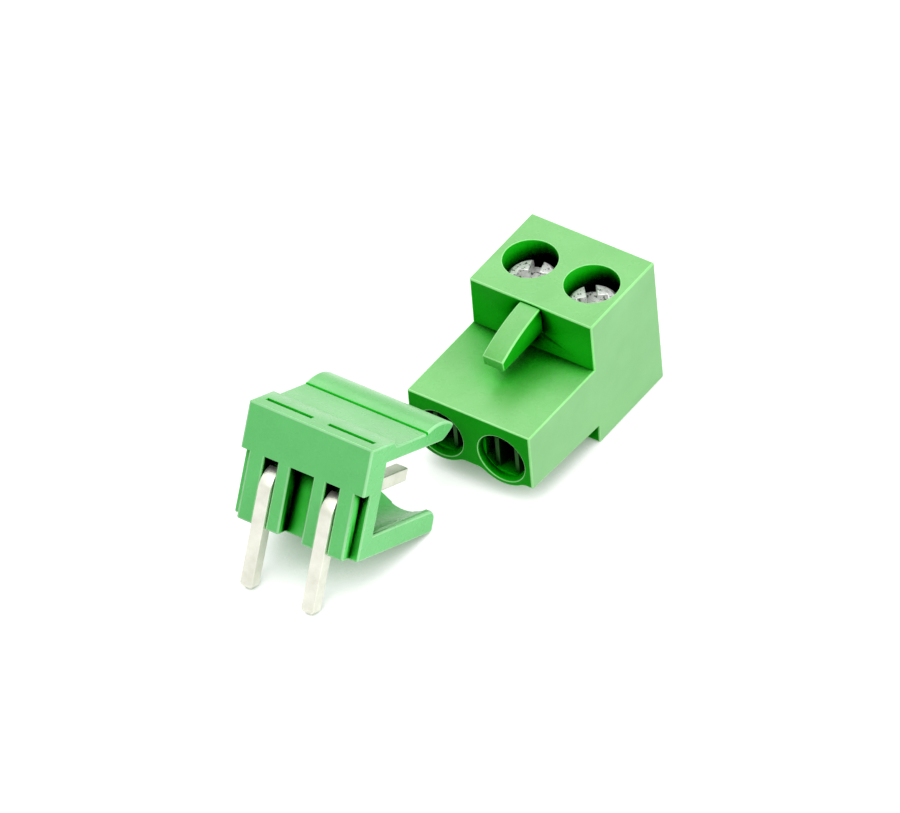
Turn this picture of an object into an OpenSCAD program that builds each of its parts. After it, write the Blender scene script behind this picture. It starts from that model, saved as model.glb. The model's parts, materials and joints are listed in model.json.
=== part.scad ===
// Two-pole pluggable terminal block: a screw-clamp plug and the right-angle pin header that it mates with.
// The halves lie apart: the plug stands on its foot, the header rests on its pin tips and its floor's front edge.
// Millimetres, +X along the row of poles, +Y towards the wire entries, +Z up.
// The origin is the middle of the plug's foot, on the surface.

/* [Poles] */
// Distance between the two poles
pitch = 5.08; // [4.98:0.02:5.18]

/* [Plug housing] */
// Width of the plug along the row of poles
plug_w = 10.1; // [10:0.05:10.6]
// Height from the foot to the top face
plug_h = 10.6; // [10.4:0.1:12]
// Length of the low nose in front of the tall block
nose_l = 8.03; // [7.9:0.05:8.6]
// Length of the tall block behind the nose
block_l = 7.87; // [7.4:0.05:9]
// How much shorter the block's top is than its foot
back_draft = 0.1; // [0:0.02:0.3]
// Height of the nose's top face above the surface
shelf_h = 6.67; // [6.6:0.02:6.9]
// Height of the foot below the root of the nose
foot_h = 1.5; // [1.4:0.02:1.6]
// Rise of the nose's underside from its root to its front
nose_rise = 0.55; // [0.3:0.05:0.7]
// Drop of the round bulge under each socket
bulge_drop = 0.62; // [0.4:0.02:0.7]
// Radius of the bulge under each socket
bulge_r = 2.8; // [2.5:0.05:3]
// Radius of the hollow blend beside each bulge
bulge_blend = 0.9; // [0.5:0.05:1.1]

/* [Plug openings] */
// Height of the socket axes above the surface
socket_z = 3.75; // [3.7:0.01:3.8]
// Bore of the socket mouths
socket_d = 3.85; // [3.8:0.01:3.9]
// Length of the socket mouths
socket_mouth_l = 0.6; // [0.5:0.02:0.64]
// Width and height of the eight-sided space behind each mouth
socket_space = 3.3; // [3.2:0.02:3.34]
// Size of the cut corners of that space
socket_cut = 0.75; // [0.7:0.01:0.8]
// Bore of the screw wells
well_d = 3.9; // [3.8:0.05:4.2]
// Distance of the screw axes behind the step
screw_y = 3.8; // [3.7:0.05:4]
// Height of the clamp chambers' floor
chamber_floor = 0.8; // [0.7:0.05:0.9]

/* [Latch] */
// Width of the latch
latch_w = 1.7; // [1.2:0.1:2]
// Reach of the latch in front of the step
latch_l = 4.75; // [4.4:0.05:5.2]
// Drop from the plug's top face to the latch's root
latch_step = 0.16; // [0.1:0.02:0.4]
// Height of the latch's front end
latch_tip_h = 0.86; // [0.7:0.02:1.1]
// Bow of the latch's upper side
latch_bow = 0.26; // [0.1:0.02:0.3]
// Backward rake of the latch's front end
latch_rake = 0.1; // [0:0.02:0.2]

/* [Terminal screws] */
// Head diameter
head_d = 3.5; // [3.3:0.05:3.6]
// Head height
head_h = 1.6; // [1.4:0.05:1.7]
// Depth of the head's top below the plug's top face
head_sink = 1.5; // [1.4:0.05:1.7]
// Chamfer around the head's top
head_chamfer = 0.2; // [0.1:0.05:0.3]
// Shank diameter over the thread
shank_d = 2.5; // [2.3:0.05:2.6]
// Width of the driver slot
slot_w = 0.8; // [0.6:0.05:0.9]
// Depth of the driver slot
slot_depth = 0.8; // [0.5:0.05:0.9]
// Length of the short arm that crosses the slot
cross_l = 2.1; // [1.6:0.1:2.4]
// Direction of the left screw's slot, in degrees from the row
left_slot_turn = 106; // [0:1:180]
// Direction of the right screw's slot, in degrees from the row
right_slot_turn = 132; // [0:1:180]

/* [Clamp cages] */
// Outer width of a cage
cage_w = 3.7; // [3.6:0.05:3.8]
// Length of a cage along the wire
cage_l = 4.1; // [3.8:0.05:4.2]
// Thickness of a cage's base
cage_t = 0.6; // [0.4:0.05:0.7]
// Thickness of a cage's sides
cage_side_t = 0.5; // [0.35:0.05:0.5]
// Thickness of the threaded top
cage_top_t = 0.9; // [0.8:0.05:0.95]

/* [Contacts] */
// Width of the contact bar
bar_w = 2; // [1.8:0.05:2.2]
// Thickness of the contact bar
bar_t = 0.6; // [0.5:0.05:0.7]
// Height of the spring fork
fork_h = 2.5; // [2:0.05:2.52]
// Thickness of a fork arm
arm_t = 0.35; // [0.25:0.05:0.4]
// Distance from the nose's front to the fork's tips
fork_setback = 0.7; // [0.68:0.02:1]
// Thickness of the web behind the fork
web_t = 0.37; // [0.3:0.01:0.45]
// Length of the fork's flared tips
fork_flare_l = 0.7; // [0.4:0.05:0.9]
// Sideways spread of the flared tips
fork_flare = 0.1; // [0.05:0.01:0.12]

/* [Header housing] */
// Width of the header along the row of poles
header_w = 10.2; // [10.1:0.05:10.6]
// Depth from the header's top to the roof of its mouth
roof_t = 1.52; // [1.5:0.02:1.8]
// Thickness of the floor at its ridges
floor_t = 1.72; // [1.5:0.02:1.9]
// Thickness of the back wall
back_t = 2.3; // [2.1:0.05:2.6]
// How far the floor's front edge stays behind the lip's tip
floor_setback = 0.2; // [0.1:0.02:0.6]
// How much deeper the floor's grooves are than the bulges under the nose
groove_extra = 0.3; // [0:0.05:0.35]
// Rounding of the ridges beside the grooves
groove_blend = 0.3; // [0.2:0.05:0.4]
// Rounding of the floor's upper front edge
floor_round = 0.8; // [0.4:0.05:0.9]
// Length of the full-height strip along the top's back edge
top_land_l = 2.8; // [2.4:0.05:3]
// Depth of the shallow recess in the top
top_recess = 0.42; // [0.3:0.02:0.5]
// Length of the ridge that ends in the lip's tip
ridge_l = 3.28; // [3.1:0.02:3.3]
// Length of the lip's lens-shaped section that is buried in the roof
lip_bury = 0.9; // [0.86:0.01:0.96]
// Depth of the lip's tip below the header's top
lip_drop = 0.5; // [0.4:0.02:0.6]
// Rise of the lip's tip over the buried end of its section
lip_rise = 0.5; // [0.4:0.05:0.6]
// Bow of the lip's upper side
lip_bow_top = 0.7; // [0.66:0.01:0.72]
// Bow of the lip's lower side
lip_bow_bottom = 1; // [0.9:0.05:1.1]
// Width of the crease behind the ridge
crease_w = 0.28; // [0.2:0.02:0.4]
// Depth of the crease behind the ridge
crease_depth = 0.16; // [0.1:0.02:0.3]
// Height of the plain band across the top of the back
band_h = 3.54; // [3.3:0.02:3.7]
// Length of the slots in the top
top_slot_l = 3.8; // [3.4:0.1:4]
// Width of the slots in the top
top_slot_w = 0.42; // [0.3:0.02:0.5]
// Depth of the slots in the top
top_slot_depth = 0.4; // [0.3:0.05:0.6]
// Distance of the slots from the back face
top_slot_y = 1.2; // [1:0.05:1.3]
// Width of the middle recess in the back
recess_w = 1.85; // [1.5:0.05:1.9]
// Depth of the middle recess in the back
recess_depth = 0.95; // [0.8:0.05:1.2]
// Width of the corner notches in the back
notch_w = 0.72; // [0.5:0.02:0.9]
// Depth of the corner notches in the back
notch_depth = 0.8; // [0.4:0.05:1]

/* [Header pins] */
// Side of the square pins
pin_w = 1; // [0.9:0.02:1.02]
// Depth of the pin axes below the socket axes when the halves are mated
pin_drop = 0.2; // [0.1:0.05:0.25]
// Length of the pins inside the mouth
pin_reach = 6.85; // [6.4:0.05:6.9]
// Length of the solder legs below the header
leg_l = 4.5; // [3.8:0.05:4.6]
// How far the legs stand behind the back face
leg_proud = 0.23; // [0.1:0.02:0.4]
// Outer radius of the pins' bend
bend_r = 1.5; // [1.2:0.05:1.6]
// Chamfer on the pins' ends
pin_chamfer = 0.22; // [0.1:0.02:0.3]

/* [Lay] */
// Sideways place of the header, from the plug's middle
header_x = -4.99; // [-7:0.1:-4]
// Gap between the plug's nose and the header's floor edge, along the surface
header_gap = 5.26; // [4:0.1:9]

/* [Clearances] */
// Gap on each side of a mated nose, above and below
mate_gap = 0.07; // [0.05:0.01:0.08]
// Gap between a mated nose and the header's back wall
seat_gap = 0.12; // [0.08:0.01:0.15]
// Gap between a mated lip and the step of the plug
lip_gap = 0.05; // [0.03:0.01:0.06]
// Gap between the latch and the lip under it
latch_gap = 0.09; // [0.06:0.01:0.12]
// Gap around a pressed-in pin or contact bar
press_gap = 0.02; // [0.01:0.01:0.03]
// Gap between a mated pin's tip and the web of the fork
web_gap = 0.25; // [0.1:0.05:0.3]
// Gap between a pin and each fork arm
grip_gap = 0.03; // [0.02:0.01:0.05]
// Gap around a screw's shank
shank_gap = 0.06; // [0.04:0.01:0.1]
// Gap around a cage in its chamber
cage_gap = 0.1; // [0.05:0.01:0.12]
// Gap between the cage's base and the bar when the clamp is shut
shut_gap = 0.15; // [0.1:0.01:0.3]
// Gap below a cage, above the bar and above a raised cage
stop_gap = 0.05; // [0.03:0.01:0.08]

/* [Hidden] */
$fn = 64;
LEFT = -1;
RIGHT = 1;
SIDES = [LEFT, RIGHT];
PLUG_GREEN = [0.30, 0.72, 0.29];
HEADER_GREEN = [0.33, 0.73, 0.40];
TIN = [0.80, 0.79, 0.75];
PLATED = [0.82, 0.82, 0.84];
BRASS = [0.76, 0.66, 0.38];
// Overrun of a cut past the face that it opens
past = 1;
// Straight pieces in the latch's bowed side
bow_steps = 14;

// Plug: heights of what is stacked in each clamp chamber
pin_z = socket_z - pin_drop;
bar_top = pin_z + bar_t / 2;
bar_bottom = pin_z - bar_t / 2;
cage_z = chamber_floor + stop_gap;
wire_gap = bar_bottom - cage_z - cage_t;
cage_travel = wire_gap - shut_gap;
window_h = bar_top + stop_gap - cage_z - cage_t;
cage_h = cage_t + window_h + cage_top_t;
chamber_top = cage_z + cage_h + cage_travel + stop_gap;
head_z = plug_h - head_sink - head_h;
chamber_w = cage_w + 2 * cage_gap;
chamber_y = screw_y - cage_l / 2 - cage_gap;

// Plug: nose and sockets, with y = 0 at the step
nose_y = -nose_l;
nose_slope = atan(nose_rise / nose_l);
arm_inner = pin_w / 2 + grip_gap;
arm_outer = arm_inner + arm_t;
fork_web = pin_reach - seat_gap + web_gap;
socket_l = fork_web + web_t;
socket_end = nose_y + socket_l;

// Header: heights are measured up from its underside, lengths forward from its back face
mouth_h = shelf_h - foot_h + 2 * mate_gap;
header_h = floor_t + mouth_h + roof_t;
roof_z = floor_t + mouth_h;
lip_y = back_t + seat_gap + nose_l - lip_gap;
floor_y = lip_y - floor_setback;
pin_rise = floor_t + mate_gap + pin_z - foot_h;
pin_tip_y = back_t + pin_reach;
recess_z = header_h - top_recess;
lower_h = header_h - band_h;

// Header: the lip is the lens between two arcs that share a chord
lip_tip = [lip_y, header_h - lip_drop];
lip_root = lip_tip - [ridge_l + lip_bury, lip_rise];
ridge_top = (lip_tip.y + lip_root.y) / 2 + lip_bow_top;

// Latch: its flat underside clears the ridge of the mated lip
header_to_plug = foot_h - mate_gap - floor_t;
relief_z = header_to_plug + ridge_top + latch_gap;
latch_root_z = plug_h - latch_step;

// Lay of the header: tilted until the pin tips and the floor's front edge meet the surface
leg_inner_y = pin_w - leg_proud;
tip_y = leg_inner_y - pin_chamfer;
tilt = atan(leg_l / (floor_y - tip_y));

function along(a, b, t) = a + t * (b - a);

// Points on a shallow curve from a to b that bows sag to the left of the way
function bowed(a, b, sag, steps) = [
    for (i = [0 : steps])
        let (t = i / steps, way = (b - a) / norm(b - a))
            along(a, b, t) + 4 * sag * t * (1 - t) * [-way.y, way.x]
];

function pole_x(side) = side * pitch / 2;

// Draws a side view, [y, z], as a prism of width w across the row
module side_prism(w) {
    rotate([90, 0, 90]) linear_extrude(w, center = true) children();
}

// Draws a front view, [x, z], as a prism that runs back from y = 0
module front_prism(l) {
    translate([0, l, 0]) rotate([90, 0, 0]) linear_extrude(l) children();
}

// Cylinder along +Y from y = 0
module bore_y(d, l) {
    rotate([-90, 0, 0]) cylinder(d = d, h = l);
}

// Two-arc lens on the chord from root to tip
module lens(root, tip, rise_above, rise_below) {
    half = norm(tip - root) / 2;
    middle = (root + tip) / 2;
    slope = atan2(tip.y - root.y, tip.x - root.x);
    r_above = (half * half + rise_above * rise_above) / (2 * rise_above);
    r_below = (half * half + rise_below * rise_below) / (2 * rise_below);
    translate(middle) rotate(slope) intersection() {
        translate([0, rise_above - r_above]) circle(r = r_above);
        translate([0, r_below - rise_below]) circle(r = r_below);
    }
}

// Front view of a round bulge of radius r below the flat at z = 0, blended into the flat
module bulge_section(r, drop, blend) {
    blend_x = sqrt(pow(r + blend, 2) - pow(r - drop + blend, 2));
    blend_z = -drop * blend / (r + blend);
    translate([0, r - drop]) circle(r = r);
    difference() {
        translate([-blend_x, blend_z]) square([2 * blend_x, -blend_z]);
        for (side = SIDES)
            translate([side * blend_x, -blend]) circle(r = blend);
    }
}

// Front view of the nose or of the mouth around it: flat bottom at z = 0 with a bulge at each pole
module nose_section(w, h, r, drop, blend) {
    translate([-w / 2, 0]) square([w, h]);
    for (side = SIDES)
        intersection() {
            translate([pole_x(side), 0]) bulge_section(r, drop, blend);
            translate([-w / 2, -h]) square([w, 2 * h]);
        }
}

// Places a plug piece: y = 0 at the step becomes half a block in front of the origin
module in_plug() {
    translate([0, -block_l / 2, 0]) children();
}

// Places a header piece on the surface, tilted towards its mouth
module in_header() {
    translate([header_x, nose_y - block_l / 2 - header_gap, 0])
        rotate([-tilt, 0, 0])
            translate([0, -floor_y, 0])
                children();
}

module nose() {
    intersection() {
        translate([-plug_w / 2, nose_y, 0]) cube([plug_w, nose_l + past, shelf_h]);
        translate([0, 0, foot_h])
            rotate([-nose_slope, 0, 0])
                translate([0, -nose_l - past, 0])
                    front_prism(nose_l + 2 * past)
                        nose_section(plug_w, shelf_h, bulge_r, bulge_drop, bulge_blend);
    }
}

module latch() {
    root = [0, latch_root_z];
    tip = [-latch_l, relief_z + latch_tip_h];
    side_prism(latch_w)
        polygon(concat(
            bowed(tip, root, latch_bow, bow_steps),
            [[past, latch_root_z], [past, relief_z], [latch_rake - latch_l, relief_z]]
        ));
}

// Cross-section of the space behind a socket mouth
module socket_section() {
    flat = socket_space / 2;
    edge = flat - socket_cut;
    polygon([
        [flat, -edge], [flat, edge], [edge, flat], [-edge, flat],
        [-flat, edge], [-flat, -edge], [-edge, -flat], [edge, -flat]
    ]);
}

// Everything that is hollowed out of the plug for one pole
module pole_cut(side) {
    translate([pole_x(side), 0, 0]) {
        translate([0, nose_y - past, socket_z]) bore_y(socket_d, socket_mouth_l + past);
        translate([0, nose_y + socket_mouth_l / 2, socket_z])
            front_prism(socket_l - socket_mouth_l / 2) socket_section();
        translate([0, screw_y, head_z]) cylinder(d = well_d, h = plug_h - head_z + past);
        translate([0, screw_y, chamber_top - past])
            cylinder(d = shank_d + 2 * shank_gap, h = head_z - chamber_top + 2 * past);
        translate([-chamber_w / 2, chamber_y, chamber_floor])
            cube([chamber_w, block_l - chamber_y + past, chamber_top - chamber_floor]);
        translate([-bar_w / 2 - press_gap, socket_end - past, bar_bottom - press_gap])
            cube([bar_w + 2 * press_gap, chamber_y - socket_end + 2 * past, bar_t + 2 * press_gap]);
    }
}

module plug_housing() {
    color(PLUG_GREEN) in_plug() difference() {
        union() {
            side_prism(plug_w)
                polygon([[0, 0], [block_l, 0], [block_l - back_draft, plug_h], [0, plug_h]]);
            nose();
            latch();
        }
        for (side = SIDES) pole_cut(side);
    }
}

module terminal_screw(side, slot_turn) {
    tip_z = bar_top + stop_gap;
    color(PLATED) in_plug() translate([pole_x(side), screw_y, 0]) difference() {
        union() {
            translate([0, 0, tip_z]) cylinder(d = shank_d, h = head_z + head_h / 2 - tip_z);
            translate([0, 0, head_z]) rotate_extrude()
                polygon([
                    [0, 0], [head_d / 2, 0], [head_d / 2, head_h - head_chamfer],
                    [head_d / 2 - head_chamfer, head_h], [0, head_h]
                ]);
        }
        translate([0, 0, head_z + head_h - slot_depth]) rotate(slot_turn) {
            translate([-head_d, -slot_w / 2, 0]) cube([2 * head_d, slot_w, slot_depth + past]);
            translate([-slot_w / 2, -cross_l / 2, 0]) cube([slot_w, cross_l, slot_depth + past]);
        }
    }
}

module clamp_cage(side) {
    color(BRASS) in_plug() translate([pole_x(side), screw_y, cage_z]) difference() {
        translate([-cage_w / 2, -cage_l / 2, 0]) cube([cage_w, cage_l, cage_h]);
        translate([-cage_w / 2 + cage_side_t, -cage_l / 2 - past, cage_t])
            cube([cage_w - 2 * cage_side_t, cage_l + 2 * past, window_h]);
        translate([0, 0, cage_t]) cylinder(d = shank_d + 2 * shank_gap, h = cage_h);
    }
}

// Plan view of one fork arm and half of the web behind it, y = 0 at the nose's front
module fork_half() {
    throat = fork_setback + fork_flare_l;
    polygon([
        [0, fork_web], [arm_inner, fork_web], [arm_inner, throat], [arm_inner + fork_flare, fork_setback],
        [arm_outer + fork_flare, fork_setback], [arm_outer, throat], [arm_outer, socket_l], [0, socket_l]
    ]);
}

module contact(side) {
    bar_y = socket_end - arm_t;
    bar_l = screw_y + cage_l / 2 - bar_y;
    color(TIN) in_plug() translate([pole_x(side), 0, 0]) {
        translate([0, nose_y, pin_z - fork_h / 2]) linear_extrude(fork_h) {
            fork_half();
            mirror([1, 0]) fork_half();
        }
        translate([-bar_w / 2, bar_y, bar_bottom]) cube([bar_w, bar_l, bar_t]);
    }
}

// Side view of the header's walls
module header_section() {
    square([back_t, header_h]);
    polygon([
        [0, roof_z], [lip_y - ridge_l, roof_z], [lip_y - ridge_l, recess_z],
        [top_land_l + top_recess, recess_z], [top_land_l, header_h], [0, header_h]
    ]);
    lens(lip_root, lip_tip, lip_bow_top, lip_bow_bottom);
    square([floor_y - floor_round, floor_t]);
    square([floor_y, floor_t - floor_round]);
    translate([floor_y - floor_round, floor_t - floor_round]) circle(r = floor_round);
}

// One bent square pin, grown by gap: y = 0 at the header's back face, z = 0 at its underside
module pin_form(gap) {
    side = pin_w + 2 * gap;
    inner_r = bend_r - pin_w - gap;
    bend = [bend_r - leg_proud, pin_rise + pin_w / 2 - bend_r];
    tip = pin_chamfer;
    intersection() {
        side_prism(side) {
            difference() {
                intersection() {
                    translate(bend) circle(r = bend_r + gap);
                    translate(bend - [bend_r + gap, 0]) square(bend_r + gap);
                }
                translate(bend) circle(r = inner_r);
            }
            polygon([
                [-leg_proud - gap, bend.y], [-leg_proud - gap, -leg_l + tip - gap],
                [-leg_proud + tip, -leg_l - gap], [leg_inner_y - tip, -leg_l - gap],
                [leg_inner_y + gap, -leg_l + tip - gap], [leg_inner_y + gap, bend.y]
            ]);
            polygon([
                [bend.x, pin_rise - side / 2], [pin_tip_y - tip + gap, pin_rise - side / 2],
                [pin_tip_y + gap, pin_rise - side / 2 + tip], [pin_tip_y + gap, pin_rise + side / 2 - tip],
                [pin_tip_y - tip + gap, pin_rise + side / 2], [bend.x, pin_rise + side / 2]
            ]);
        }
        // Tapers the two ends sideways as well
        union() {
            translate([-side / 2, -leg_proud - past, -leg_l - gap + tip])
                cube([side, pin_tip_y - tip + leg_proud + past, header_h + leg_l]);
            translate([0, -leg_proud - past, 0]) front_prism(bend_r + 2 * past)
                polygon([
                    [-side / 2, 0], [-side / 2, -leg_l + tip - gap], [-side / 2 + tip, -leg_l - gap],
                    [side / 2 - tip, -leg_l - gap], [side / 2, -leg_l + tip - gap], [side / 2, 0]
                ]);
            linear_extrude(header_h)
                polygon([
                    [-side / 2, 0], [-side / 2, pin_tip_y - tip + gap], [-side / 2 + tip, pin_tip_y + gap],
                    [side / 2 - tip, pin_tip_y + gap], [side / 2, pin_tip_y - tip + gap], [side / 2, 0]
                ]);
        }
    }
}

module header_housing() {
    color(HEADER_GREEN) in_header() difference() {
        side_prism(header_w) header_section();
        // Mouth, with grooves in the floor for the bulges under the nose
        translate([0, back_t, floor_t]) front_prism(nose_l + 2 * past)
            nose_section(
                header_w + 2 * past, mouth_h, bulge_r + mate_gap, bulge_drop + groove_extra, groove_blend
            );
        // Slots in the top, one over each pole
        for (side = SIDES)
            translate([pole_x(side) - top_slot_l / 2, top_slot_y - top_slot_w / 2, header_h - top_slot_depth])
                cube([top_slot_l, top_slot_w, top_slot_depth + past]);
        // Crease along the back of the ridge
        translate([-header_w / 2 - past, lip_y - ridge_l - crease_w, recess_z - crease_depth])
            cube([header_w + 2 * past, crease_w, crease_depth + past]);
        // Middle recess and corner notches below the band
        translate([-recess_w / 2, -past, -past]) cube([recess_w, recess_depth + past, lower_h + past]);
        for (side = SIDES)
            translate([side * (header_w - notch_w + past) / 2 - (notch_w + past) / 2, -past, -past])
                cube([notch_w + past, notch_depth + past, lower_h + past]);
        // Channels that the pins are pressed into
        for (side = SIDES)
            translate([pole_x(side), 0, 0]) {
                pin_form(press_gap);
                translate([-pin_w / 2 - press_gap, -past, -past])
                    cube([pin_w + 2 * press_gap, leg_inner_y + press_gap + past, lower_h + past]);
            }
    }
}

module header_pin(side) {
    color(TIN) in_header() translate([pole_x(side), 0, 0]) pin_form(0);
}

plug_housing();
terminal_screw(LEFT, left_slot_turn);  // left_terminal_screw
terminal_screw(RIGHT, right_slot_turn);  // right_terminal_screw
clamp_cage(LEFT);  // left_clamp_cage
clamp_cage(RIGHT);  // right_clamp_cage
contact(LEFT);  // left_contact
contact(RIGHT);  // right_contact
header_housing();
header_pin(LEFT);  // left_header_pin
header_pin(RIGHT);  // right_header_pin
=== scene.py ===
import json
import math

import bmesh
import bpy
from mathutils import Matrix, Vector

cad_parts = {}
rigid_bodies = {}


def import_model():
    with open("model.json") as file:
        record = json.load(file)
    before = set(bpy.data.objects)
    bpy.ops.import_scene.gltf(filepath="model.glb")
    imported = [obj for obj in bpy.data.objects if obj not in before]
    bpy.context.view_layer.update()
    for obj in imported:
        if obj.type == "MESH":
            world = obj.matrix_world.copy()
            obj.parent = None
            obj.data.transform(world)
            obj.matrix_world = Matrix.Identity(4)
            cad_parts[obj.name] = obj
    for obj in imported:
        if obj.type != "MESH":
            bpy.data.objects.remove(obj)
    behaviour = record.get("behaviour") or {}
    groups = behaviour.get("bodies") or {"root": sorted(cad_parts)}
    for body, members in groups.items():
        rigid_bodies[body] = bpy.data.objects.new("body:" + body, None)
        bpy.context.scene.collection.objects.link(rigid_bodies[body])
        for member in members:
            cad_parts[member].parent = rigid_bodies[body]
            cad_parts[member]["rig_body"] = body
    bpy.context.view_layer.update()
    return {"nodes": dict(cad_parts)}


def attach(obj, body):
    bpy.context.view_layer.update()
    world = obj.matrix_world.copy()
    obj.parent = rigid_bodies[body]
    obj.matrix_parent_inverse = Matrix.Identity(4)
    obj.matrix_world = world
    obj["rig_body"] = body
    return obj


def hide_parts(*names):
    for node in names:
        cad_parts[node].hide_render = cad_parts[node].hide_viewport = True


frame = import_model()
NODES = frame["nodes"]
SIDES = ("left", "right")
MM = 0.001
MM2 = MM * MM
WHITE = (1.0, 1.0, 1.0)


# Node helpers

# A Mix node has sockets of the same name for each data type: these are its colours
COLOUR_A = 6
COLOUR_B = 7
COLOUR_RESULT = 2


def new_material(name):
    mat = bpy.data.materials.new(name)
    mat.use_nodes = True
    tree = mat.node_tree
    return mat, tree, tree.nodes["Principled BSDF"]


def link(tree, a, b):
    tree.links.new(a, b)


def object_coords(tree):
    return tree.nodes.new("ShaderNodeTexCoord").outputs["Object"]


def part_of(tree, vector, axis):
    node = tree.nodes.new("ShaderNodeSeparateXYZ")
    link(tree, vector, node.inputs["Vector"])
    return node.outputs[axis]


def noise(tree, coords, scale, detail=3.0, rough=0.55):
    node = tree.nodes.new("ShaderNodeTexNoise")
    node.inputs["Scale"].default_value = scale
    node.inputs["Detail"].default_value = detail
    node.inputs["Roughness"].default_value = rough
    link(tree, coords, node.inputs["Vector"])
    return node.outputs["Fac"]


def ramp(tree, value, stops):
    node = tree.nodes.new("ShaderNodeValToRGB")
    items = node.color_ramp.elements
    while len(items) < len(stops):
        items.new(0.5)
    for item, (pos, col) in zip(items, stops):
        item.position = pos
        item.color = (*col, 1.0)
    link(tree, value, node.inputs["Fac"])
    return node.outputs["Color"]


def map_range(tree, value, from_lo, from_hi, to_lo, to_hi, kind="LINEAR"):
    node = tree.nodes.new("ShaderNodeMapRange")
    node.interpolation_type = kind
    node.inputs["From Min"].default_value = from_lo
    node.inputs["From Max"].default_value = from_hi
    node.inputs["To Min"].default_value = to_lo
    node.inputs["To Max"].default_value = to_hi
    link(tree, value, node.inputs["Value"])
    return node.outputs["Result"]


def math_node(tree, operation, a, b):
    node = tree.nodes.new("ShaderNodeMath")
    node.operation = operation
    link(tree, a, node.inputs[0])
    link(tree, b, node.inputs[1])
    return node.outputs[0]


def multiply_colour(tree, a, b):
    node = tree.nodes.new("ShaderNodeMix")
    node.data_type = "RGBA"
    node.blend_type = "MULTIPLY"
    node.inputs["Factor"].default_value = 1.0
    link(tree, a, node.inputs[COLOUR_A])
    link(tree, b, node.inputs[COLOUR_B])
    return node.outputs[COLOUR_RESULT]


def bump(tree, height, distance, strength, normal=None):
    node = tree.nodes.new("ShaderNodeBump")
    node.inputs["Distance"].default_value = distance
    node.inputs["Strength"].default_value = strength
    link(tree, height, node.inputs["Height"])
    if normal:
        link(tree, normal, node.inputs["Normal"])
    return node.outputs["Normal"]


def tilted(tree, normal, lean):
    """A normal that leans to one side."""
    aside = tree.nodes.new("ShaderNodeVectorMath")
    aside.operation = "ADD"
    aside.inputs[1].default_value = lean
    link(tree, normal, aside.inputs[0])
    unit = tree.nodes.new("ShaderNodeVectorMath")
    unit.operation = "NORMALIZE"
    link(tree, aside.outputs[0], unit.inputs[0])
    return unit.outputs[0]


def openness(tree, reach, closed, clear, own_walls=True, samples=8, gain=None, lean=None):
    """How far a spot lies open, 0 to 1, counting the walls within reach.

    It masks the painted shade on the plastic and the painted shadow on the floor.
    The gain, painted light on sides that face one way along x, adds up to its third value as a side's normal
    runs along x from its first value to its second.
    The lean turns the spot's outlook to one side, so that walls lying on that side paint deeper shade.
    """
    node = tree.nodes.new("ShaderNodeAmbientOcclusion")
    node.samples = samples
    node.only_local = own_walls
    node.inputs["Distance"].default_value = reach
    open_share = node.outputs["AO"]
    facing = tree.nodes.new("ShaderNodeNewGeometry").outputs["Normal"]
    if lean:
        link(tree, tilted(tree, facing, lean), node.inputs["Normal"])
    if gain:
        start, full, most = gain
        added = map_range(tree, part_of(tree, facing, "X"), start, full, 0.0, most)
        open_share = math_node(tree, "ADD", open_share, added)
    return map_range(tree, open_share, closed, clear, 0.0, 1.0, "SMOOTHSTEP")


# Plastic

# Painted shade: tint of a wall from fully closed in, black, to fully open, its own colour
PAINTED_SHADE_TINT = [
    (0.0, (0.0, 0.0, 0.0)),
    (0.12, (0.004, 0.12, 0.004)),
    (0.38, (0.04, 0.92, 0.04)),
    (0.70, (0.24, 1.0, 0.24)),
    (1.0, WHITE),
]
# Reach of the painted shade close in corners
NEAR_REACH = 1.6 * MM

# Noise scales are per metre, and most of a noise's values lie between its low and high value
NOISE_LOW = 0.3
NOISE_HIGH = 0.7
TONE_LOW = 0.32
TONE_HIGH = 0.68
TONE_SCALE = 260.0
ROUGH_SCALE = 900.0
GRAIN_SCALE = 9000.0
GRAIN_DEPTH = 0.004 * MM
WAVE_SCALE = 700.0
WAVE_DEPTH = 0.02 * MM
BUMP_STRENGTH = 0.12

PLASTIC_IOR = 1.5
SHEEN_ROUGHNESS = 0.5
SHEEN_TINT = (0.92, 1.0, 0.90, 1.0)


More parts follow.
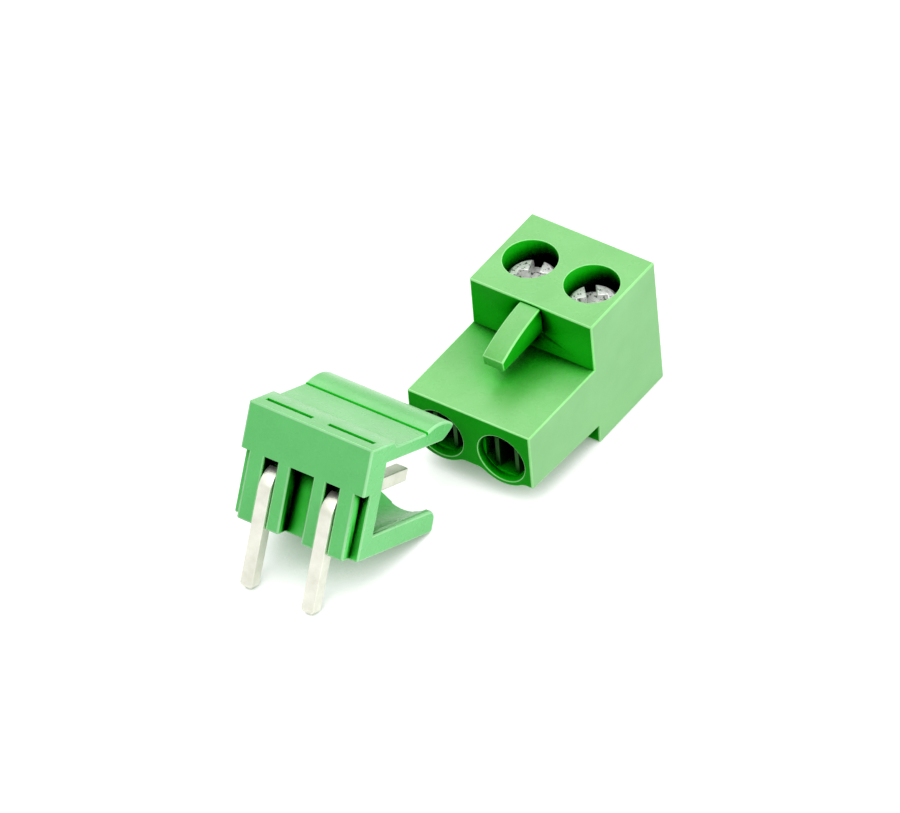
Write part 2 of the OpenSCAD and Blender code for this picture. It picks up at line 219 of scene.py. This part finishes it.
def plastic(name, dark, light, spec=0.35, sheen=0.3, rough=(0.22, 0.34), wide=(0.45, 0.86), near=(0.62, 1.0),
            reach=5.0 * MM, samples=8, gain=None, lean=None):
    """Satin moulded plastic with painted shade: its colour sinks into deep green and black, and its gloss
    and sheen fade, where its own walls close it in.
    """
    mat, tree, bsdf = new_material(name)
    at = object_coords(tree)
    tone = noise(tree, at, TONE_SCALE, detail=4.0)
    colour = ramp(tree, tone, [(TONE_LOW, dark), (TONE_HIGH, light)])
    # Painted shade: openness to walls far and near darkens the colour and takes away gloss and sheen
    around = openness(tree, reach, *wide, samples=samples, gain=gain)
    close_by = openness(tree, NEAR_REACH, *near, samples=samples, lean=lean)
    lit = math_node(tree, "MULTIPLY", around, close_by)
    gloss = math_node(tree, "MULTIPLY", lit, lit)
    link(tree, multiply_colour(tree, colour, ramp(tree, lit, PAINTED_SHADE_TINT)), bsdf.inputs["Base Color"])
    link(tree, map_range(tree, gloss, 0.0, 1.0, 0.0, spec), bsdf.inputs["Specular IOR Level"])
    link(tree, map_range(tree, gloss, 0.0, 1.0, 0.0, sheen), bsdf.inputs["Sheen Weight"])
    uneven = noise(tree, at, ROUGH_SCALE)
    link(tree, map_range(tree, uneven, NOISE_LOW, NOISE_HIGH, *rough), bsdf.inputs["Roughness"])
    grain = bump(tree, noise(tree, at, GRAIN_SCALE, detail=2.0, rough=0.6), GRAIN_DEPTH, BUMP_STRENGTH)
    waves = bump(tree, noise(tree, at, WAVE_SCALE, detail=2.0, rough=0.5), WAVE_DEPTH, BUMP_STRENGTH, grain)
    link(tree, waves, bsdf.inputs["Normal"])
    bsdf.inputs["IOR"].default_value = PLASTIC_IOR
    bsdf.inputs["Sheen Roughness"].default_value = SHEEN_ROUGHNESS
    bsdf.inputs["Sheen Tint"].default_value = SHEEN_TINT
    return mat


# Painted shade: the shaded copies of the green lose nearly all gloss and sheen
SHADED_NO_GLOSS = {"spec": 0.02, "sheen": 0.0}

# The plug, in lit and shaded copies of one green: upper sides and back, rounded edges (paler, painted
# highlight), ends (paler, painted light and painted reflection), other upright sides (deep green, painted
# shade), screw wells and sockets (painted shade, with painted light on the sides that face one way along x)
PLUG = (
    plastic("plug_green", (0.125, 0.475, 0.096), (0.152, 0.535, 0.120), wide=(0.44, 0.90), reach=8.0 * MM),
    plastic("plug_green_edge_painted_highlight", (0.28, 0.72, 0.24), (0.34, 0.78, 0.30)),
    plastic("plug_green_end_painted_light", (0.200, 0.520, 0.184), (0.232, 0.578, 0.212), rough=(0.40, 0.52)),
    plastic("plug_green_front_painted_shade", (0.006, 0.340, 0.006), (0.010, 0.400, 0.010), wide=(0.42, 0.74), **SHADED_NO_GLOSS),
    plastic("plug_green_well_painted_shade", (0.006, 0.440, 0.006), (0.010, 0.500, 0.010), wide=(0.42, 0.59),
            near=(0.3, 0.8), samples=24, gain=(0.0, 1.0, 0.15), **SHADED_NO_GLOSS),
    plastic("plug_green_socket_painted_shade", (0.006, 0.420, 0.006), (0.010, 0.480, 0.010), wide=(0.36, 0.85),
            near=(0.0, 0.8), gain=(0.5, -0.5, 0.25), **SHADED_NO_GLOSS),
)
TOP, EDGE, END, FRONT, WELL, SOCKET = range(len(PLUG))

# The header, in lit and shaded copies of one green: walls (a lighter copy, painted light, with painted shade
# that deepens where walls lie towards -x), rounded edges (paler, painted highlight), upper side, slots and
# crease in it (saturated and without sheen, painted shade), curved floor (much the walls' lighter copy)
HEADER_WIDE = (0.40, 0.85)
HEADER = (
    plastic("header_green", (0.122, 0.590, 0.152), (0.142, 0.650, 0.178), wide=HEADER_WIDE,
            near=(0.50, 0.84), samples=12, lean=(-0.8, 0.0, 0.0)),
    plastic("header_green_edge_painted_highlight", (0.30, 0.72, 0.32), (0.36, 0.78, 0.38), wide=HEADER_WIDE),
    plastic("header_green_top", (0.118, 0.500, 0.126), (0.146, 0.560, 0.154), wide=HEADER_WIDE),
    plastic("header_green_groove_painted_shade", (0.04, 0.62, 0.08), (0.06, 0.70, 0.11), spec=0.1, sheen=0.0,
            wide=(0.0, 0.4), near=(0.0, 0.8)),
    plastic("header_green_tray", (0.120, 0.570, 0.150), (0.140, 0.630, 0.175), wide=HEADER_WIDE),
)
WALL, EDGE, ROOF, GROOVE, TRAY = range(len(HEADER))


# Metal

# Painted shade with a painted green reflection: tint of the contacts from the tip of the fork inwards
DEPTH = [(0.0, (0.025, 0.10, 0.022)), (0.3, (0.008, 0.04, 0.008)), (1.0, (0.002, 0.01, 0.002))]
DEPTH_RUN = 3.0 * MM
# Dark specks in rough plating
SPECKS = [(0.36, (0.08, 0.12, 0.08)), (0.43, WHITE)]

# Noise scales as multiples of the metal's own
SPECK_FINENESS = 1.7
ROUGH_FINENESS = 2.3
GRAIN_FINENESS = 4.0


def metal(name, dark, light, rough, scale, grain, relief=0.02 * MM, shine=1.0, specks=False, depth=None):
    """Plated metal with a mottled tone; the depth is the run in y over which painted shade darkens it
    inwards.
    """
    mat, tree, bsdf = new_material(name)
    at = object_coords(tree)
    tone = noise(tree, at, scale, detail=4.0, rough=0.6)
    colour = ramp(tree, tone, [(NOISE_LOW, dark), (NOISE_HIGH, light)])
    if depth:
        inward = map_range(tree, part_of(tree, at, "Y"), *depth, 0.0, 1.0)
        colour = multiply_colour(tree, colour, ramp(tree, inward, DEPTH))
    if specks:
        spots = ramp(tree, noise(tree, at, scale * SPECK_FINENESS, detail=2.0, rough=0.6), SPECKS)
        colour = multiply_colour(tree, colour, spots)
    link(tree, colour, bsdf.inputs["Base Color"])
    uneven = noise(tree, at, scale * ROUGH_FINENESS, rough=0.6)
    link(tree, map_range(tree, uneven, NOISE_LOW, NOISE_HIGH, *rough), bsdf.inputs["Roughness"])
    height = noise(tree, at, scale * GRAIN_FINENESS, rough=0.65)
    link(tree, bump(tree, height, relief, grain), bsdf.inputs["Normal"])
    bsdf.inputs["Metallic"].default_value = shine
    return mat


def corners(node):
    return [NODES[node].matrix_world @ Vector(c) for c in NODES[node].bound_box]


def middle(node):
    points = corners(node)
    return sum(points, Vector()) / len(points)


SCREWS = [middle(side + "_terminal_screw") for side in SIDES]
CONTACTS = [middle(side + "_contact") for side in SIDES]
FORK_TIP = min(c.y for c in corners("left_contact"))

# The screws: rough plated heads, smooth bright edges
PLATED = (
    metal("bright_plating", (0.92, 0.92, 0.90), (1.0, 1.0, 0.98), rough=(0.25, 0.55), scale=2200.0,
          grain=1.0, relief=0.06 * MM, shine=0.4, specks=True),
    metal("bright_plating_edge", (0.95, 0.95, 0.93), (1.0, 1.0, 0.98), rough=(0.30, 0.40), scale=2200.0,
          grain=0.2, shine=0.6),
)
# The clamp cages
NICKEL = (
    metal("nickel_plating", (0.60, 0.57, 0.50), (0.74, 0.71, 0.64), rough=(0.25, 0.38), scale=800.0,
          grain=0.3),
)
# The header's pins
TIN = (
    metal("matt_tin", (0.67, 0.67, 0.58), (0.80, 0.80, 0.71), rough=(0.42, 0.55), scale=900.0, grain=0.25),
)
# The contacts, which lie deep in the sockets, darkening inwards to near-black green: painted shade and
# painted reflection
TIN_INSIDE = (
    metal("contact_tin_painted_shade", (0.78, 0.78, 0.74), (0.90, 0.90, 0.86), rough=(0.35, 0.50), scale=900.0, grain=0.25,
          depth=(FORK_TIP, FORK_TIP + DEPTH_RUN)),
)


# Pieces: each CAD solid gets rounded outer edges and its materials, on the plastic lit and shaded copies of
# one green

# A face looks one way, roughly or straight, if this share of its normal points there
FACING = 0.7
STRAIGHT = 0.99
# The largest face that looks this far upwards is the header's upper side
UPWARD = 0.8
# A face lies in an outermost plane if its middle is this close to it
SKIM = 0.1 * MM
# Faces of a bore have their middle within this distance of its axis
BORE_REACH = 2.2 * MM
# The latch's front end is smaller than this, and above this multiple of the contacts' height
LATCH_END_AREA = 3.0 * MM2
LATCH_RISE = 1.5
# Faces of the slots and the crease lie this close to the header's top, and are smaller than this
SLOT_DEPTH = 0.65 * MM
SLOT_AREA = 3.2 * MM2
# Faces of the curved floor lie this far below the header's top, and look up at least this much
TRAY_DROP = 5.0 * MM
TRAY_RISE = 0.05


def plug_light_and_shade_faces(bm):
    """Sorts the plug's faces into lit and shaded copies of one green: ends, wells, sockets, upper sides with
    the back, other upright sides.
    """
    half_w = max(v.co.x for v in bm.verts)
    mouth = min(v.co.y for v in bm.verts) + SKIM
    rear = max(v.co.y for v in bm.verts) - SKIM
    over_sockets = LATCH_RISE * CONTACTS[0].z
    for face in bm.faces:
        at = face.calc_center_median()
        upright = abs(face.normal.z) < FACING
        small_front = face.normal.y < -FACING and face.calc_area() < LATCH_END_AREA
        latch_end = small_front and at.z > over_sockets
        over_screw = any((at.xy - s.xy).length < BORE_REACH and at.z > s.z for s in SCREWS)
        in_well = upright and over_screw
        by_contact = any((at.xz - c.xz).length < BORE_REACH for c in CONTACTS)
        in_socket = by_contact and mouth < at.y < CONTACTS[0].y
        if abs(face.normal.x) > STRAIGHT and abs(at.x) > half_w - SKIM:
            face.material_index = END
        elif in_well:
            face.material_index = WELL
        elif in_socket:
            face.material_index = SOCKET
        else:
            # Upright sides other than the back take the deep green, painted shade
            face.material_index = FRONT if upright and not latch_end and at.y < rear else TOP


def header_light_and_shade_faces(bm):
    """Sorts the header's faces into lit and shaded copies of one green: slots and crease, curved floor,
    upper side, walls.
    """
    up = max((f for f in bm.faces if f.normal.z > UPWARD), key=lambda f: f.calc_area()).normal.copy()
    top = max(v.co.dot(up) for v in bm.verts)
    for face in bm.faces:
        level = face.calc_center_median().dot(up)
        if level > top - SLOT_DEPTH and face.calc_area() < SLOT_AREA:
            face.material_index = GROOVE
        elif level < top - TRAY_DROP and face.normal.dot(up) > TRAY_RISE:
            face.material_index = TRAY
        else:
            face.material_index = ROOF if face.normal.dot(up) > FACING else WALL


# Two edges run on smoothly if their directions away from the shared corner have this product or less
RUNS_ON = -0.8


def edge_chains(edges):
    """Edges that run on smoothly into each other, as lists."""
    ends = {}
    for edge in edges:
        for vert in edge.verts:
            ends.setdefault(vert, []).append(edge)
    left = dict.fromkeys(edges)
    chains = []
    while left:
        first = next(iter(left))
        del left[first]
        chain = [first]
        for edge in chain:
            for vert in edge.verts:
                if len(ends[vert]) != 2:
                    continue
                other = ends[vert][0] if ends[vert][1] is edge else ends[vert][1]
                away = (edge.other_vert(vert).co - vert.co).normalized()
                onward = (other.other_vert(vert).co - vert.co).normalized()
                if other in left and away.dot(onward) < RUNS_ON:
                    del left[other]
                    chain.append(other)
        chains.append(chain)
    return chains


WELD_DISTANCE = 1e-7
FLAT_ANGLE = math.radians(0.2)
SHARP_ANGLE = math.radians(28.0)
BIG_EDGE_AREA = 2.5 * MM2
BEVEL_SEGMENTS = 3
NORMAL_WEIGHT = 80


def skin(node, mats, round_big, round_small, sort_faces=None, plain=None, inside=(), fine=(),
         corner=SHARP_ANGLE):
    """A copy of a CAD solid's faces, with a bevel on its outer edges.

    Edges at a plain face and edges between two inside faces stay sharp.
    Edges at a fine face and edges between small faces get the small bevel.
    """
    source = NODES[node]
    bm = bmesh.new()
    bm.from_mesh(source.data)
    bmesh.ops.remove_doubles(bm, verts=bm.verts, dist=WELD_DISTANCE)
    bmesh.ops.dissolve_limit(bm, angle_limit=FLAT_ANGLE, use_dissolve_boundaries=False,
                             verts=bm.verts, edges=bm.edges)
    for face in bm.faces:
        face.smooth = True
        face.material_index = 0
    if sort_faces:
        sort_faces(bm)
    weight = bm.edges.layers.float.new("bevel_weight_edge")
    outer = []
    for edge in bm.edges:
        turn = edge.calc_face_angle_signed()
        kinds = {f.material_index for f in edge.link_faces}
        if turn > corner and plain not in kinds and not kinds <= set(inside):
            outer.append(edge)
        elif abs(turn) > SHARP_ANGLE:
            edge.smooth = False
    for chain in edge_chains(outer):
        sides = {f for e in chain for f in e.link_faces}
        areas = sorted(f.calc_area() for f in sides)
        big = sum(areas[:-1]) > BIG_EDGE_AREA and not any(f.material_index in fine for f in sides)
        for edge in chain:
            edge[weight] = 1.0 if big else round_small / round_big
    mesh = bpy.data.meshes.new(node + "_skin")
    bm.to_mesh(mesh)
    bm.free()
    if "custom_normal" in mesh.attributes:
        mesh.attributes.remove(mesh.attributes["custom_normal"])
    for mat in mats:
        mesh.materials.append(mat)
    obj = bpy.data.objects.new(node + "_piece", mesh)
    bpy.context.collection.objects.link(obj)
    bevel = obj.modifiers.new("edges", "BEVEL")
    bevel.limit_method = "WEIGHT"
    bevel.width = round_big
    bevel.segments = BEVEL_SEGMENTS
    bevel.miter_outer = "MITER_ARC"
    bevel.use_clamp_overlap = False
    # On the plastic the bevel takes a paler green, a painted highlight along the edges
    if len(mats) > 1:
        bevel.material = EDGE
    normals = obj.modifiers.new("normals", "WEIGHTED_NORMAL")
    normals.weight = NORMAL_WEIGHT
    normals.keep_sharp = True
    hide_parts(node)
    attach(obj, source["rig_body"])


BORES = (WELL, SOCKET)
skin("plug_housing", PLUG, round_big=0.12 * MM, round_small=0.07 * MM,
     sort_faces=plug_light_and_shade_faces, inside=BORES, fine=BORES)
skin("header_housing", HEADER, round_big=0.16 * MM, round_small=0.05 * MM,
     sort_faces=header_light_and_shade_faces, plain=GROOVE, inside=(TRAY,), corner=math.radians(50.0))
for side in SIDES:
    skin(side + "_terminal_screw", PLATED, round_big=0.05 * MM, round_small=0.04 * MM)
    skin(side + "_clamp_cage", NICKEL, round_big=0.08 * MM, round_small=0.08 * MM)
    skin(side + "_contact", TIN_INSIDE, round_big=0.04 * MM, round_small=0.04 * MM)
    skin(side + "_header_pin", TIN, round_big=0.06 * MM, round_small=0.06 * MM)


# Floor, light and camera

FLOOR_HALF = 3.0
FLOOR_GREY = 0.50
# Glow of the floor from close under the part to open floor; its dim, green-tinged end is a painted shadow
# with painted green bounce light
FLOOR_GLOW_AND_PAINTED_SHADOW = [(0.0, (0.12, 0.19, 0.12)), (1.0, (0.78, 0.78, 0.78))]
SHADOW_REACH = 5.5 * MM
SHADOW_SPAN = (0.18, 0.64)

# Direction of the camera's view, and the direction that a level surface mirrors into it
VIEW = (-0.4527, 0.5845, -0.6734)
MIRRORED = (VIEW[0], VIEW[1], -VIEW[2])
PART_MIDDLE = Vector((-2.5, -12.0, 4.0)) * MM
LAMP_DISTANCE = 0.4
SKY_LIGHT = 0.40
SKY_SEEN = 1.0


def seen_directly(tree):
    """1 for the camera and for reflections and transmission, 0 for the light that falls on the part."""
    path = tree.nodes.new("ShaderNodeLightPath")
    seen = math_node(tree, "MAXIMUM", path.outputs["Is Camera Ray"], path.outputs["Is Glossy Ray"])
    return math_node(tree, "MAXIMUM", seen, path.outputs["Is Transmission Ray"])


def make_floor(half, grey, glow):
    """A grey floor with a white glow that fades close under the part into a painted, green-tinged shadow."""
    mesh = bpy.data.meshes.new("floor")
    rim = [(-half, -half, 0), (half, -half, 0), (half, half, 0), (-half, half, 0)]
    mesh.from_pydata(rim, [], [(0, 1, 2, 3)])
    obj = bpy.data.objects.new("floor", mesh)
    bpy.context.collection.objects.link(obj)
    mat = bpy.data.materials.new("floor_white")
    mat.use_nodes = True
    tree = mat.node_tree
    tree.nodes.clear()
    lit = tree.nodes.new("ShaderNodeBsdfDiffuse")
    lit.inputs["Color"].default_value = (grey, grey, grey, 1.0)
    white = tree.nodes.new("ShaderNodeEmission")
    # Painted shadow: the glow dims where the part closes the floor in
    shade = openness(tree, SHADOW_REACH, *SHADOW_SPAN, own_walls=False)
    link(tree, ramp(tree, shade, glow), white.inputs["Color"])
    link(tree, seen_directly(tree), white.inputs["Strength"])
    both = tree.nodes.new("ShaderNodeAddShader")
    link(tree, lit.outputs[0], both.inputs[0])
    link(tree, white.outputs[0], both.inputs[1])
    out = tree.nodes.new("ShaderNodeOutputMaterial")
    link(tree, both.outputs[0], out.inputs["Surface"])
    mesh.materials.append(mat)


def softbox(name, direction, size, radiance):
    """A square lamp that faces the middle of the part."""
    lamp = bpy.data.lights.new(name, "AREA")
    lamp.shape = "SQUARE"
    lamp.size = size
    lamp.energy = radiance * math.pi * size * size
    obj = bpy.data.objects.new(name, lamp)
    bpy.context.collection.objects.link(obj)
    aim = Vector(direction).normalized()
    obj.location = PART_MIDDLE + aim * LAMP_DISTANCE
    obj.rotation_euler = aim.to_track_quat("Z", "Y").to_euler()


def white_sky():
    """A sky that looks white and lights the part at a lower level."""
    world = bpy.data.worlds.new("studio")
    bpy.context.scene.world = world
    world.use_nodes = True
    tree = world.node_tree
    sky = tree.nodes["Background"]
    sky.inputs["Color"].default_value = (*WHITE, 1.0)
    strength = map_range(tree, seen_directly(tree), 0.0, 1.0, SKY_LIGHT, SKY_SEEN)
    link(tree, strength, sky.inputs["Strength"])


make_floor(FLOOR_HALF, FLOOR_GREY, FLOOR_GLOW_AND_PAINTED_SHADOW)
softbox("key", (-0.45, 0.14, 0.88), size=0.18, radiance=2.8)
softbox("back", MIRRORED, size=0.22, radiance=3.0)
softbox("right", (0.92, 0.05, 0.36), size=0.26, radiance=5.2)
softbox("front", (0.05, -0.52, 0.85), size=0.26, radiance=2.8)
white_sky()

# The camera's place was fitted to the photograph
ACROSS = (0.8239, 0.5628, -0.0654)
LOOK_AT = Vector((0.0, -11.965, 2.05)) * MM
SHIFT_LEFT = 1.503 * MM
SHIFT_UP = 3.95 * MM
CAMERA_DISTANCE = 952 * MM

cam_data = bpy.data.cameras.new("camera")
cam = bpy.data.objects.new("camera", cam_data)
bpy.context.collection.objects.link(cam)
bpy.context.scene.camera = cam
right = Vector(ACROSS).normalized()
ahead = Vector(VIEW).normalized()
up = right.cross(ahead).normalized()
right = ahead.cross(up).normalized()
aim_at = LOOK_AT - right * SHIFT_LEFT + up * SHIFT_UP
place = aim_at - ahead * CAMERA_DISTANCE
cam.matrix_world = Matrix((
    (right.x, up.x, -ahead.x, place.x),
    (right.y, up.y, -ahead.y, place.y),
    (right.z, up.z, -ahead.z, place.z),
    (0.0, 0.0, 0.0, 1.0),
))
cam_data.sensor_width = 36.0
cam_data.lens = 557.2
cam_data.clip_start = 0.1
cam_data.clip_end = 20.0

bpy.context.scene.view_settings.view_transform = "Standard"
